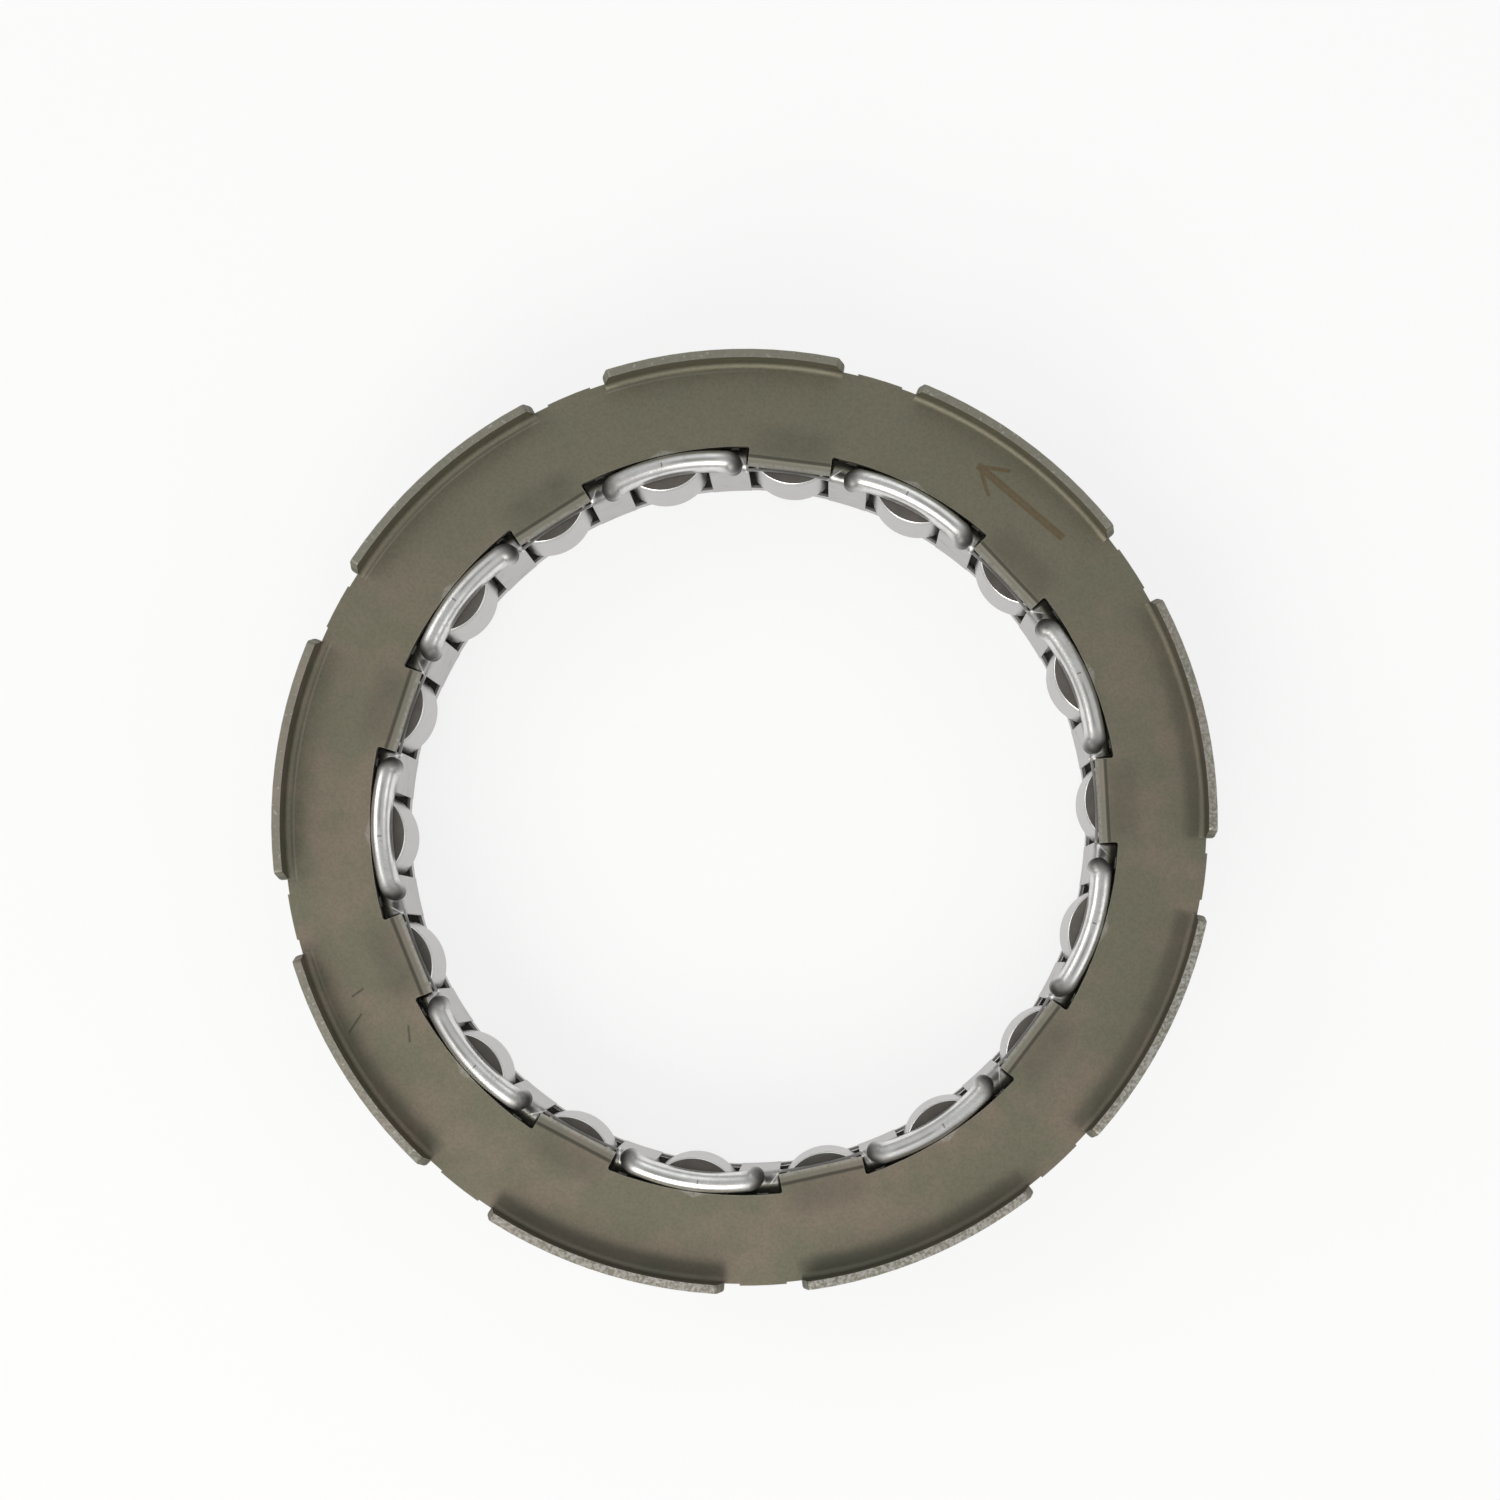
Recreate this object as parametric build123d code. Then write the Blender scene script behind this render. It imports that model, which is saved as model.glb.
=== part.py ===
from build123d import *
from math import asin, cos, degrees, radians, sin, sqrt
import os

# Sprag clutch insert: a flanged outer cage, an inner cage, a ribbon spring and its sprags.
# +Z is the clutch axis and points out of the flange's lipped face; the back rail lies on z = 0.
# Angles are counter-clockwise about +Z from +X. All sizes are in millimetres and degrees.

# The hub that the clutch runs on, and the room between it and the outer race
hub_radius = 24.86
sprag_space = 6.94

# Pattern: every second sprag stands under a loop of the inner cage, the others under a flange tooth
unit_count = 9
first_tooth_angle = 2.5

# Sheet gauges
sheet = 0.6
strip = 0.2
ribbon_gauge = 0.15

# Heights along the axis
sprag_length = 6.6
back_rail_width = 0.55
front_rail_width = 0.7
axial_gap = 0.1

# Flange ring: its flat rests on the outer race's shoulder
seat_width = 1.1
lip_height = 2.0
lip_bend_radius = 0.5
lip_corner_radius = 0.3
lip_end_slant = 0.45
rim_setback = 0.4
rim_gap_angle = 9.5
rim_relief_depth = 0.13
rim_relief_width = 1.1
tooth_width = 6.1
tooth_reach = 1.8
tooth_drop = 0.25
tooth_root_length = 0.6
tooth_step_length = 0.4
tooth_root_radius = 0.2

# Outer cage
outer_cage_bend_radius = 0.4

# Inner cage
window_curl_radius = 0.6
pocket_depth = 1.4
wide_pocket_mouth = 1.75
narrow_pocket_mouth = 1.35
pocket_floor_width = 0.7
pocket_floor_radius = 0.3
pocket_mouth_radius = 0.15

# Loops of the inner cage's front rail
loop_width = 1.2
loop_length = 8.2
loop_arc_radius = 15.5
loop_elbow_radius = 0.7
loop_elbow_turn = 48
loop_turn = -0.7
loop_proud = 0.1
loop_sill = 0.15

# Sprags
sprag_inner_width = 5.7
sprag_outer_width = 5.5
sprag_waist = 4.9
sprag_inner_cam = 3.6
sprag_outer_cam = 3.6
sprag_lean = 0.7
sprag_edge_radius = 0.3
sprag_end_chamfer = 0.12
hub_nip = 0.06
race_gap = 0.1

# Ribbon spring
ribbon_fold_depth = 0.9
ribbon_fold_width = 1.8
tongue_length = 0.6
tongue_height = 3.0

# Named clearances
hub_clearance = 0.74
race_clearance = 1.0
rail_clearance = 0.6
ribbon_clearance = 1.3
loop_clearance = 0.1
side_clearance = 0.2
tilt_clearance = 0.15
end_clearance = 0.15
waist_clearance = 0.6

# Worked out from the sizes above
race_radius = hub_radius + sprag_space
lip_radius = race_radius + seat_width + lip_bend_radius + sheet
rim_radius = lip_radius - rim_setback
outer_cage_radius = race_radius - race_clearance
inner_cage_bore_radius = hub_radius + hub_clearance
pocket_radius = inner_cage_bore_radius + pocket_depth
back_rail_bore_radius = pocket_radius + rail_clearance
ribbon_radius = pocket_radius + ribbon_clearance

unit_angle = 360 / unit_count
sprag_count = 2 * unit_count
sprag_bottom = sheet + axial_gap + back_rail_width + axial_gap
sprag_top = sprag_bottom + sprag_length
flange_bottom = sprag_top + axial_gap + front_rail_width + axial_gap
flange_top = flange_bottom + sheet
lip_top = flange_top + lip_height
tooth_bottom = flange_bottom - tooth_drop
window_bottom = sprag_bottom - end_clearance
window_top = sprag_top + end_clearance

loop_crest = flange_top + loop_proud
loop_half_width = loop_width / 2
notch_radius = pocket_radius + loop_clearance + loop_clearance
loop_mid_radius = notch_radius - loop_clearance - loop_half_width
tooth_tip_radius = notch_radius - tooth_reach
inner_cage_top = tooth_bottom - end_clearance
inner_wall_radius = inner_cage_bore_radius + strip
inner_window_half = sprag_inner_width / 2 + side_clearance

tip_radius = hub_radius - hub_nip
inner_cam_radius = tip_radius + sprag_inner_cam
outer_cam_radius = race_radius - race_gap - sprag_outer_cam
outer_window_half = sprag_outer_width / 2 + tilt_clearance


def disc_slice(inner, outer, spread):
    """Plan of a stretch of an annulus, spread degrees wide, centred on +X."""
    half = radians(spread / 2)
    reach = 2 * outer
    corners = [(0, 0), (reach * cos(half), -reach * sin(half)), (reach * cos(half), reach * sin(half))]
    return Polygon(*corners, align=None) & (Circle(outer) - Circle(inner))


def radial_box(inner, outer, centre, width, bottom, top, shift=0.0):
    """A box that lies along the radius at the angle centre, moved sideways by shift."""
    block = Pos((inner + outer) / 2, shift, (bottom + top) / 2) * Box(outer - inner, width, top - bottom)
    return Rot(0, 0, centre) * block


def upright_edges(body, radius):
    """The edges that run along the axis at this radius."""
    def off_axis(edge):
        middle = edge.center()
        return sqrt(middle.X**2 + middle.Y**2)
    return [edge for edge in body.edges().filter_by(Axis.Z) if abs(off_axis(edge) - radius) < 0.01]


def loop_angles():
    """Middles of the flange's notches, where the loops stand."""
    return [first_tooth_angle + unit_angle * (k + 0.5) for k in range(unit_count)]


def tooth_angles():
    """Middles of the flange's teeth."""
    return [first_tooth_angle + unit_angle * k for k in range(unit_count)]


def gap_angles():
    """Middles of the gaps between the lips, halfway from each loop to the next tooth."""
    return [angle + unit_angle / 4 for angle in loop_angles()]


def sprag_angles():
    """Angles of the sprags' inner tips; teeth and loops take turns."""
    return [first_tooth_angle + unit_angle * k / 2 for k in range(sprag_count)]


def lip_strip(spread):
    """One upturned lip with its bend, spread degrees wide, centred on +X."""
    bend_outer = lip_bend_radius + sheet
    flat_edge = lip_radius - bend_outer
    with BuildSketch(Plane.XZ) as section:
        with BuildLine():
            Line((flat_edge, flange_bottom), (flat_edge, flange_top))
            inner_centre = (flat_edge, flange_top + lip_bend_radius)
            CenterArc(inner_centre, lip_bend_radius, -90, 90)
            Line((lip_radius - sheet, inner_centre[1]), (lip_radius - sheet, lip_top))
            Line((lip_radius - sheet, lip_top), (lip_radius, lip_top))
            Line((lip_radius, lip_top), (lip_radius, inner_centre[1]))
            CenterArc(inner_centre, bend_outer, 0, -90)
        make_face()
    swept = revolve(section.sketch, Axis.Z, spread)
    return Rot(0, 0, -spread / 2) * swept


def lip_end():
    """Cutter, for a lip that ends on the XZ plane, that slants its end and rounds its top corner."""
    deep = 4 * lip_corner_radius
    outline = [(-lip_end_slant, lip_top), (0, flange_top), (-deep, flange_top), (-deep, lip_top)]
    kept = Plane.YZ * Polygon(*outline, align=None)
    top_corner = kept.vertices().filter_by_position(Axis.Z, lip_top, lip_top).sort_by(Axis.Y)[-1]
    kept = fillet(top_corner, lip_corner_radius)
    blank = Plane.YZ * Pos(-deep / 2, flange_top + lip_height / 2) * Rectangle(deep, lip_height)
    return extrude(blank - kept, lip_radius + sheet)


def lip():
    """A lip whose two ends are slanted, with rounded top corners."""
    spread = unit_angle - rim_gap_angle
    end = lip_end()
    blank = lip_strip(spread) - Rot(0, 0, spread / 2) * end
    return blank - Rot(0, 0, -spread / 2) * end.mirror(Plane.XZ)


def tooth():
    """The stepped-down end of a tooth on +X, as a pressed tab has it."""
    step_start = notch_radius - tooth_root_length
    step_end = step_start - tooth_step_length
    outline = [
        (step_start, flange_bottom),
        (step_start, flange_top),
        (step_end, flange_top - tooth_drop),
        (tooth_tip_radius, flange_top - tooth_drop),
        (tooth_tip_radius, flange_bottom - tooth_drop),
        (step_end, flange_bottom - tooth_drop),
    ]
    section = Plane.XZ * Polygon(*outline, align=None)
    return extrude(section, tooth_width / 2, both=True)


def flange_plan(flat_edge):
    """Plan of the flat annulus with the roots of its teeth and the plain stretches of its rim."""
    plan = Circle(flat_edge) - Circle(notch_radius)
    root_start = notch_radius - tooth_root_length
    root_end = notch_radius + tooth_root_radius
    for angle in tooth_angles():
        root = Pos((root_start + root_end) / 2, 0) * Rectangle(root_end - root_start, tooth_width)
        plan += Rot(0, 0, angle) * root
    relief_angle = degrees(rim_relief_width / rim_radius)
    for angle in gap_angles():
        rim = disc_slice(flat_edge - sheet, rim_radius - rim_relief_depth, rim_gap_angle)
        rim += disc_slice(flat_edge - sheet, rim_radius, rim_gap_angle - 2 * relief_angle)
        plan += Rot(0, 0, angle) * rim
    return plan


def flange_ring():
    """The pressed flange: flat annulus, upturned lips round its rim and teeth round its bore."""
    flat_edge = lip_radius - lip_bend_radius - sheet
    body = Pos(0, 0, flange_bottom) * extrude(flange_plan(flat_edge), sheet)
    body = fillet(upright_edges(body, notch_radius), tooth_root_radius)
    upturned = lip()
    step = tooth()
    lips = [Rot(0, 0, angle + unit_angle / 2) * upturned for angle in gap_angles()]
    steps = [Rot(0, 0, angle) * step for angle in tooth_angles()]
    return body + lips + steps


def outer_cage():
    """The drawn cup behind the flange: a wall with a window for each sprag and an inward back rail."""
    outer_bend = outer_cage_bend_radius + sheet
    inner_wall = outer_cage_radius - sheet
    with BuildSketch(Plane.XZ) as section:
        with BuildLine():
            Line((back_rail_bore_radius, 0), (outer_cage_radius - outer_bend, 0))
            CenterArc((outer_cage_radius - outer_bend, outer_bend), outer_bend, -90, 90)
            Line((outer_cage_radius, outer_bend), (outer_cage_radius, flange_bottom))
            Line((outer_cage_radius, flange_bottom), (inner_wall, flange_bottom))
            Line((inner_wall, flange_bottom), (inner_wall, outer_bend))
            CenterArc((outer_cage_radius - outer_bend, outer_bend), outer_cage_bend_radius, 0, -90)
            Line((outer_cage_radius - outer_bend, sheet), (back_rail_bore_radius, sheet))
            Line((back_rail_bore_radius, sheet), (back_rail_bore_radius, 0))
        make_face()
    cup = revolve(section.sketch, Axis.Z)
    windows = []
    for angle in sprag_angles():
        windows.append(radial_box(inner_wall - sheet, race_radius, angle, 2 * outer_window_half,
                                  window_bottom, window_top, -sprag_lean))
    return cup - windows


def rail_arc(radius, half_width, bottom, crest, start, turn):
    """A bar with a rounded crest that runs along an arc, from the angle start on."""
    shoulder = crest - half_width
    with BuildSketch(Plane.XZ) as section:
        with BuildLine():
            Line((radius - half_width, shoulder), (radius - half_width, bottom))
            Line((radius - half_width, bottom), (radius + half_width, bottom))
            Line((radius + half_width, bottom), (radius + half_width, shoulder))
            CenterArc((radius, shoulder), half_width, 0, 180)
        make_face()
    return Rot(0, 0, start) * revolve(section.sketch, Axis.Z, turn)


def loop_pill(half_width, bottom, crest):
    """A round-crested bar with an elbow and a dome at each end: the outside or inside of a loop."""
    arc_centre = loop_mid_radius - loop_arc_radius
    reach = degrees(asin(loop_length / 2 / loop_arc_radius))
    shoulder = crest - half_width
    bar = rail_arc(loop_arc_radius, half_width, bottom, crest, -reach, 2 * reach)
    post = Pos(0, 0, (bottom + shoulder) / 2) * Cylinder(half_width, shoulder - bottom)
    knob = post + Pos(0, 0, shoulder) * Sphere(half_width)
    for side in (-1, 1):
        elbow_start = reach if side > 0 else -reach - loop_elbow_turn
        elbow = rail_arc(loop_elbow_radius, half_width, bottom, crest, elbow_start, loop_elbow_turn)
        elbow += Rot(0, 0, side * (reach + loop_elbow_turn)) * Pos(loop_elbow_radius, 0, 0) * knob
        elbow_distance = loop_arc_radius - loop_elbow_radius
        bar += Rot(0, 0, side * reach) * Pos(elbow_distance, 0, 0) * Rot(0, 0, -side * reach) * elbow
    return Pos(arc_centre, 0, 0) * bar


def loop():
    """One bullnosed loop on +X: a thin shell over the sprag's end with a sill along its inner foot."""
    outside = loop_pill(loop_half_width, window_top, loop_crest)
    inside = loop_pill(loop_half_width - strip, window_top - strip, loop_crest - strip)
    sill_outer = loop_arc_radius - loop_half_width + strip / 2
    sill_inner = loop_arc_radius - loop_half_width - loop_sill
    sweep = 2 * degrees(asin(loop_length / 2 / loop_arc_radius))
    arc_centre = loop_mid_radius - loop_arc_radius
    sill = extrude(disc_slice(sill_inner, sill_outer, sweep), inner_cage_top - window_top)
    bore = Pos(0, 0, loop_crest / 2) * Cylinder(inner_cage_bore_radius, 2 * loop_crest)
    return outside - inside + Pos(arc_centre, 0, window_top) * sill - bore


def pocket_outline(mouth, side):
    """Plan of a pocket in the inner cage's wall, mouth wide at the bore.

    It starts at the edge of a tooth's window, on the given side of +X. Its flank beside the window
    slants away from the tooth, and its other flank runs out along the radius.
    """
    window_edge = inner_window_half + strip / 2
    far_edge = window_edge + mouth
    floor_edge = far_edge - pocket_floor_width
    foot = sqrt(inner_cage_bore_radius**2 - window_edge**2)
    slant = (floor_edge - window_edge) / (pocket_radius - foot)
    throat = foot - mouth
    throat_edge = window_edge - slant * mouth
    window_flank = [(throat, throat_edge), (pocket_radius, floor_edge)]
    far_flank = [(pocket_radius, far_edge), (throat, far_edge)]
    outline = [(x, side * y) for x, y in window_flank + far_flank]
    shape = Polygon(*outline[::side], align=None)
    return fillet(shape.vertices().sort_by(Axis.X)[-2:], pocket_floor_radius)


def curl_outline(side):
    """Plan of the strip's outward curl along one edge of a loop's window."""
    centre_y = inner_window_half + window_curl_radius
    centre = Pos(inner_cage_bore_radius + window_curl_radius, side * centre_y)
    band = Circle(window_curl_radius) - Circle(window_curl_radius - strip)
    quarter_centre = Pos(-window_curl_radius / 2, -side * window_curl_radius / 2)
    quarter = quarter_centre * Rectangle(window_curl_radius, window_curl_radius)
    return centre * (band & quarter)


def inner_cage():
    """The bright inner cage: a thin wall with pockets, a window for each sprag and the loops."""
    wall = Circle(inner_wall_radius) - Circle(inner_cage_bore_radius)
    hollows = Sketch()
    for mouth, side in ((wide_pocket_mouth, -1), (narrow_pocket_mouth, 1)):
        shape = pocket_outline(mouth, side)
        hollow = offset(shape, -strip)
        for angle in tooth_angles():
            wall += Rot(0, 0, angle) * shape
            hollows += Rot(0, 0, angle) * hollow
    plan = wall - Circle(inner_cage_bore_radius) - hollows
    body = Pos(0, 0, axial_gap) * extrude(plan, inner_cage_top - axial_gap)
    body = fillet(upright_edges(body, inner_cage_bore_radius), pocket_mouth_radius)
    cutters = []
    for angle in tooth_angles():
        narrow = 2 * inner_window_half
        cutters.append(radial_box(tip_radius, race_radius, angle, narrow, window_bottom, window_top))
    for angle in loop_angles():
        wide = 2 * (inner_window_half + window_curl_radius)
        cutters.append(radial_box(tip_radius, race_radius, angle, wide, window_bottom, loop_crest))
    body -= cutters
    curls = curl_outline(-1) + curl_outline(1)
    curls = Pos(0, 0, window_bottom) * extrude(curls, inner_cage_top - window_bottom)
    bullnose = loop()
    fronts = []
    for angle in loop_angles():
        fronts.append(Rot(0, 0, angle) * curls)
        fronts.append(Rot(0, 0, angle + loop_turn) * bullnose)
    return body + fronts


def sprag_outline():
    """Plan of a sprag on +X: two cam arcs, the outer one leaning clockwise, and hollow flanks."""
    inner_half = sprag_inner_width / 2
    outer_half = sprag_outer_width / 2
    inner_edge = inner_cam_radius - sqrt(sprag_inner_cam**2 - inner_half**2)
    outer_edge = outer_cam_radius + sqrt(sprag_outer_cam**2 - outer_half**2)
    waist_x = (inner_edge + outer_edge) / 2
    waist_y = -sprag_lean / 2
    inner_tip = (tip_radius, 0)
    outer_tip = (outer_cam_radius + sprag_outer_cam, -sprag_lean)
    with BuildSketch() as plan:
        with BuildLine():
            ThreePointArc((inner_edge, inner_half), inner_tip, (inner_edge, -inner_half))
            ThreePointArc((inner_edge, -inner_half), (waist_x, waist_y - sprag_waist / 2),
                          (outer_edge, -outer_half - sprag_lean))
            ThreePointArc((outer_edge, -outer_half - sprag_lean), outer_tip,
                          (outer_edge, outer_half - sprag_lean))
            ThreePointArc((outer_edge, outer_half - sprag_lean), (waist_x, waist_y + sprag_waist / 2),
                          (inner_edge, inner_half))
        make_face()
        fillet(plan.vertices(), sprag_edge_radius)
    return plan.sketch


def sprag():
    """One hardened sprag on +X with its end edges broken."""
    blank = Pos(0, 0, sprag_bottom) * extrude(sprag_outline(), sprag_length)
    ends = blank.faces().filter_by(Axis.Z)
    return chamfer(ends.edges(), sprag_end_chamfer)


def ribbon_spring():
    """The energising ribbon round the sprags' waists, folded between them, with a tongue at each."""
    pitch = 360 / sprag_count
    window_half = sprag_waist / 2 + waist_clearance
    bottom = sheet + axial_gap
    top = flange_bottom - axial_gap
    fold_angle = degrees(ribbon_fold_width / 2 / ribbon_radius)
    centre_angle = -degrees(sprag_lean / 2 / ribbon_radius)

    def polar(radius, angle):
        return (radius * cos(radians(angle)), radius * sin(radians(angle)))

    outside = []
    inside = []
    for angle in sprag_angles():
        mid = angle + centre_angle + pitch / 2
        for turn, rise in ((-fold_angle, 0), (0, ribbon_fold_depth), (fold_angle, 0)):
            outside.append(polar(ribbon_radius + ribbon_gauge + rise, mid + turn))
            inside.append(polar(ribbon_radius + rise, mid + turn))
    plan = Polygon(*outside, align=None) - Polygon(*inside, align=None)
    body = Pos(0, 0, bottom) * extrude(plan, top - bottom)
    tongue_middle = (sprag_bottom + sprag_top) / 2
    tongue_shift = window_half + ribbon_gauge / 2 - sprag_lean / 2
    cutters = []
    tongues = []
    for angle in sprag_angles():
        cutters.append(radial_box(inner_cage_bore_radius, race_radius, angle, 2 * window_half,
                                  sprag_bottom - axial_gap, sprag_top + axial_gap, -sprag_lean / 2))
        tongues.append(radial_box(ribbon_radius - tongue_length, ribbon_radius, angle, ribbon_gauge,
                                  tongue_middle - tongue_height / 2, tongue_middle + tongue_height / 2,
                                  tongue_shift))
    return body - cutters + tongues


def write_parts():
    """Write one STEP file for each piece."""
    os.makedirs("parts", exist_ok=True)
    pieces = {
        "flange_ring": flange_ring(),
        "outer_cage": outer_cage(),
        "inner_cage": inner_cage(),
        "ribbon_spring": ribbon_spring(),
    }
    blank = sprag()
    for number, angle in enumerate(sprag_angles(), start=1):
        pieces[f"sprag_{number:02d}"] = Rot(0, 0, angle) * blank
    for name, piece in pieces.items():
        export_step(piece, f"parts/{name}.step")


write_parts()
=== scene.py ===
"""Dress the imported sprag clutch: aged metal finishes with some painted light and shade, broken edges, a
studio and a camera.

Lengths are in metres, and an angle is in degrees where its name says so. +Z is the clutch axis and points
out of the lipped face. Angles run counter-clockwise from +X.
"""

import logging
from dataclasses import dataclass
from enum import Enum
from math import asin, cos, degrees, pi, radians, sin
from typing import Iterable

import bmesh
import bpy
from mathutils import Matrix, Vector


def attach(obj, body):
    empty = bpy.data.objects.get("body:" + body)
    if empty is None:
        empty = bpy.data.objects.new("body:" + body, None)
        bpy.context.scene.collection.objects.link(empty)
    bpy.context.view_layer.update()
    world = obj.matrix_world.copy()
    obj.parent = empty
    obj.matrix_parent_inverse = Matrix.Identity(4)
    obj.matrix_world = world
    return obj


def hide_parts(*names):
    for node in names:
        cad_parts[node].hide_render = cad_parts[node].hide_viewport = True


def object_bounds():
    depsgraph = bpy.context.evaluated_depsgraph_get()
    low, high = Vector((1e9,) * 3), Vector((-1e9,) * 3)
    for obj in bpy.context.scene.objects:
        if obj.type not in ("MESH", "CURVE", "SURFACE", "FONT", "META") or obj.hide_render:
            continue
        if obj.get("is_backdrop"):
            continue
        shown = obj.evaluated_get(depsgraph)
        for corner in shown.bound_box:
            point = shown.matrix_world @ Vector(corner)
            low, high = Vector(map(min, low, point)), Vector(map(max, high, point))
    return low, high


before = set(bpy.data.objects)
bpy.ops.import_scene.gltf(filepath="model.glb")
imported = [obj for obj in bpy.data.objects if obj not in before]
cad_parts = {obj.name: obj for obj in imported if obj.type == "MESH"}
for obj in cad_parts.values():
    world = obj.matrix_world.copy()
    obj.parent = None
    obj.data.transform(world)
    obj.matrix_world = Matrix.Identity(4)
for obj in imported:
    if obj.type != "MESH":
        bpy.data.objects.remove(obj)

MM = 0.001
MEAN_RADIUS = 30 * MM
log = logging.getLogger("sprag_clutch")

Colour = tuple[float, float, float, float]


class Body(Enum):
    """The moving bodies that carry pieces, apart from the sprags."""

    OUTER = "outer_cage"
    INNER = "inner_cage"


class Slot(Enum):
    """Names for the material slots."""

    FLANGE = "flange_steel"
    CAGE = "cage_steel"
    STRIP = "bright_strip"
    SPRING = "spring_strip"
    SPRAG = "sprag_steel"


@dataclass(frozen=True)
class Pattern:
    """The angular layout that the flange, the loops and the sprags share."""

    units: int = 9
    first_tooth_deg: float = 2.5
    loop_turn_deg: float = -0.7

    @property
    def pitch_deg(self) -> float:
        """Angle from one tooth to the next."""
        return 360 / self.units

    def tooth_angles(self) -> list[float]:
        """Middles of the flange's teeth, in degrees."""
        return [self.first_tooth_deg + self.pitch_deg * k for k in range(self.units)]

    def loop_angles(self) -> list[float]:
        """Middles of the loops, in degrees."""
        return [angle + self.pitch_deg / 2 + self.loop_turn_deg for angle in self.tooth_angles()]

    @property
    def lip_deg(self) -> float:
        """Middle of the first lip."""
        return self.first_tooth_deg + self.pitch_deg / 4


@dataclass(frozen=True)
class Sizes:
    """Sizes that two pieces, or a piece and its finish, share."""

    lip_top: float = 11.45 * MM
    flange_face: float = 9.45 * MM
    tooth_tip: float = 25.7 * MM
    strip_wall: float = 25.8 * MM
    strip_bore: float = 25.6 * MM
    loop_arc: float = 15.5 * MM


LAYOUT = Pattern()
SIZES = Sizes()


def heading(angle: float) -> Vector:
    """Point across the axis.

    Args:
        angle: Where to, in radians.

    Returns:
        The unit vector.
    """
    return Vector((cos(angle), sin(angle)))


class Signal:
    """A number that runs along a shader link, so that maths on it reads as maths."""

    def __init__(self, recipe: "Recipe", socket: bpy.types.NodeSocket) -> None:
        """Wrap an output socket of the recipe's tree."""
        self.recipe = recipe
        self.socket = socket

    def __add__(self, other: "Signal | float") -> "Signal":
        """Sum."""
        return self.recipe.maths("ADD", self, other)

    __radd__ = __add__

    def __sub__(self, other: "Signal | float") -> "Signal":
        """Difference."""
        return self.recipe.maths("SUBTRACT", self, other)

    def __rsub__(self, other: float) -> "Signal":
        """Difference from a plain number."""
        return self.recipe.maths("SUBTRACT", other, self)

    def __mul__(self, other: "Signal | float") -> "Signal":
        """Product."""
        return self.recipe.maths("MULTIPLY", self, other)

    __rmul__ = __mul__

    def __truediv__(self, other: "Signal | float") -> "Signal":
        """Quotient."""
        return self.recipe.maths("DIVIDE", self, other)

    def __abs__(self) -> "Signal":
        """Size without sign."""
        return self.recipe.maths("ABSOLUTE", self)

    def least(self, other: "Signal | float") -> "Signal":
        """The smaller of two."""
        return self.recipe.maths("MINIMUM", self, other)

    def most(self, other: "Signal | float") -> "Signal":
        """The larger of two."""
        return self.recipe.maths("MAXIMUM", self, other)

    def root(self) -> "Signal":
        """Square root."""
        return self.recipe.maths("SQRT", self)

    @staticmethod
    def strongest(signals: "Iterable[Signal]") -> "Signal":
        """The largest of several."""
        kept, *others = signals
        for other in others:
            kept = kept.most(other)
        return kept

    def ramp(self, low: float, high: float) -> "Signal":
        """Rise smoothly from 0 at low to 1 at high.

        Args:
            low: The value that gives 0.
            high: The value that gives 1; below low, the signal falls instead.

        Returns:
            The eased signal.
        """
        start, end = min(low, high), max(low, high)
        made = self.recipe.node(
            "ShaderNodeMapRange",
            {"interpolation_type": "SMOOTHSTEP"},
            {"Value": self, "From Min": start, "From Max": end},
        )
        eased = Signal(self.recipe, made.outputs["Result"])
        return eased if low < high else 1 - eased

    def band(self, middle: float, half_width: float, soft: float) -> "Signal":
        """1 within half_width of the middle, easing to 0 over the soft width outside it.

        Args:
            middle: Centre of the band.
            half_width: Half of the flat part.
            soft: Width of each eased edge.

        Returns:
            The band's mask.
        """
        return abs(self - middle).ramp(half_width + soft, half_width)


@dataclass(frozen=True)
class Place:
    """Where a point of the surface lies on the clutch."""

    vector: bpy.types.NodeSocket
    x: Signal
    y: Signal
    z: Signal
    radius: Signal
    turn: Signal


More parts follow.
